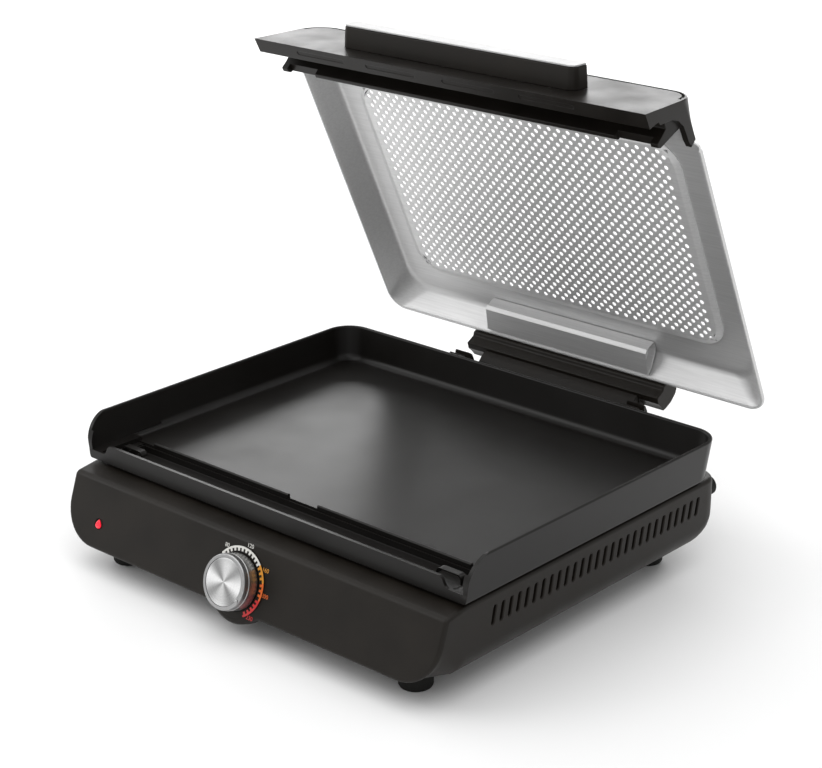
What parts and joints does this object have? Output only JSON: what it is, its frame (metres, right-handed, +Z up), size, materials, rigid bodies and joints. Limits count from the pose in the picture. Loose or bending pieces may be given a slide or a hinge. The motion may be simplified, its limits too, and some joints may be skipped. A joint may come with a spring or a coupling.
{
  "type": "electric griddle",
  "caption": "Electric table griddle with a raised-rim cooking plate, a front grease tray, a hinged perforated lid with a visor, and a thermostat knob.",
  "frame": {"origin": "on the table, under the middle of the overall box with the lid standing open", "axes": "+Z up, -Y towards the front panel with the knob, X across the griddle"},
  "size_m": [0.411, 0.44, 0.4128],
  "materials": {
    "black_plastic": "satin moulded plastic, warm near-black",
    "rubber": "matte",
    "nonstick_aluminium": "dark satin non-stick coating on cast aluminium",
    "brushed_steel": "fine brushed stainless steel",
    "element_sheath": "oxidised tubular sheath",
    "plated_sheet": "plated steel",
    "knob_chrome": "turned and plated, dark satin side",
    "scale_white": "printed scale",
    "red_lens": "clear red, lit",
    "cream_plastic": "heat-proof moulding",
    "copper": "drawn copper",
    "wire_red": "sleeved",
    "wire_black": "sleeved",
    "wire_green": "sleeved"
  },
  "bodies": {
    "base": {"housing_shell": "black_plastic", "panel_tab": "black_plastic", "bottom_cover": "black_plastic", "foot_front_left": "rubber", "foot_front_right": "rubber", "foot_rear_left": "rubber", "foot_rear_right": "rubber", "rear_bumper_left": "rubber", "rear_bumper_right": "rubber", "plate_pad_1": "rubber", "plate_pad_2": "rubber", "plate_pad_3": "rubber", "plate_pad_4": "rubber", "cord_gland": "rubber", "heating_element_right": "element_sheath", "heating_element_left": "element_sheath", "heat_reflector": "plated_sheet", "reflector_post_1": "plated_sheet", "reflector_post_2": "plated_sheet", "reflector_post_3": "plated_sheet", "reflector_post_4": "plated_sheet", "cover_screw_1": "plated_sheet", "cover_screw_2": "plated_sheet", "cover_screw_3": "plated_sheet", "cover_screw_4": "plated_sheet", "cover_screw_5": "plated_sheet", "cover_screw_6": "plated_sheet", "dial_ring": "scale_white", "pilot_lens": "red_lens", "pilot_lamp": "red_lens", "thermostat": "cream_plastic", "terminal_block": "cream_plastic", "thermostat_terminals": "copper", "temperature_probe": "copper", "capillary_tube": "copper", "wire_live": "wire_red", "wire_element_left": "wire_black", "wire_element_right": "wire_black", "wire_earth": "wire_green"},
    "knob": {"knob_body": "knob_chrome", "knob_cap": "knob_chrome", "knob_pointer": "knob_chrome", "knob_shaft": "plated_sheet"},
    "hinge_pins": {"hinge_pin_left": "plated_sheet", "hinge_pin_right": "plated_sheet"},
    "lid": {"lid_pan": "brushed_steel", "lid_screen": "brushed_steel", "lid_trim": "black_plastic", "handle_bar": "black_plastic", "handle_insert": "brushed_steel", "hinge_bar": "black_plastic", "hinge_brace": "brushed_steel", "hinge_screw_1": "plated_sheet", "hinge_screw_2": "plated_sheet", "hinge_screw_3": "plated_sheet", "hinge_screw_4": "plated_sheet"},
    "plate": {"griddle_plate": "nonstick_aluminium"},
    "tray": {"drip_tray": "nonstick_aluminium"}
  },
  "joints": [
    {"name": "knob_turn", "type": "hinge", "parent": "base", "child": "knob", "pos_m": [0, -0.19796, 0.04155], "axis": [0, -0.9452, 0.3264], "range_deg": [-30, 180]},
    {"name": "lid_lift", "type": "slide", "parent": "base", "child": "hinge_pins", "axis": [0, 0, 1], "range_m": [0, 0.08]},
    {"name": "lid_hinge", "type": "hinge", "parent": "hinge_pins", "child": "lid", "pos_m": [0, 0.1708, 0.066], "axis": [-1, 0, 0], "range_deg": [-64.6, 20]},
    {"name": "plate_lift", "type": "slide", "parent": "base", "child": "plate", "axis": [0, 0, 1], "range_m": [0, 0.04]},
    {"name": "tray_lift", "type": "slide", "parent": "plate", "child": "tray", "axis": [0, 0, 1], "range_m": [0, 0.02]}
  ],
  "couplings": [
    {"joint": "plate_lift", "follows": "lid_lift", "ratio": 0.5},
    {"joint": "tray_lift", "follows": "lid_lift", "ratio": 0.25}
  ]
}
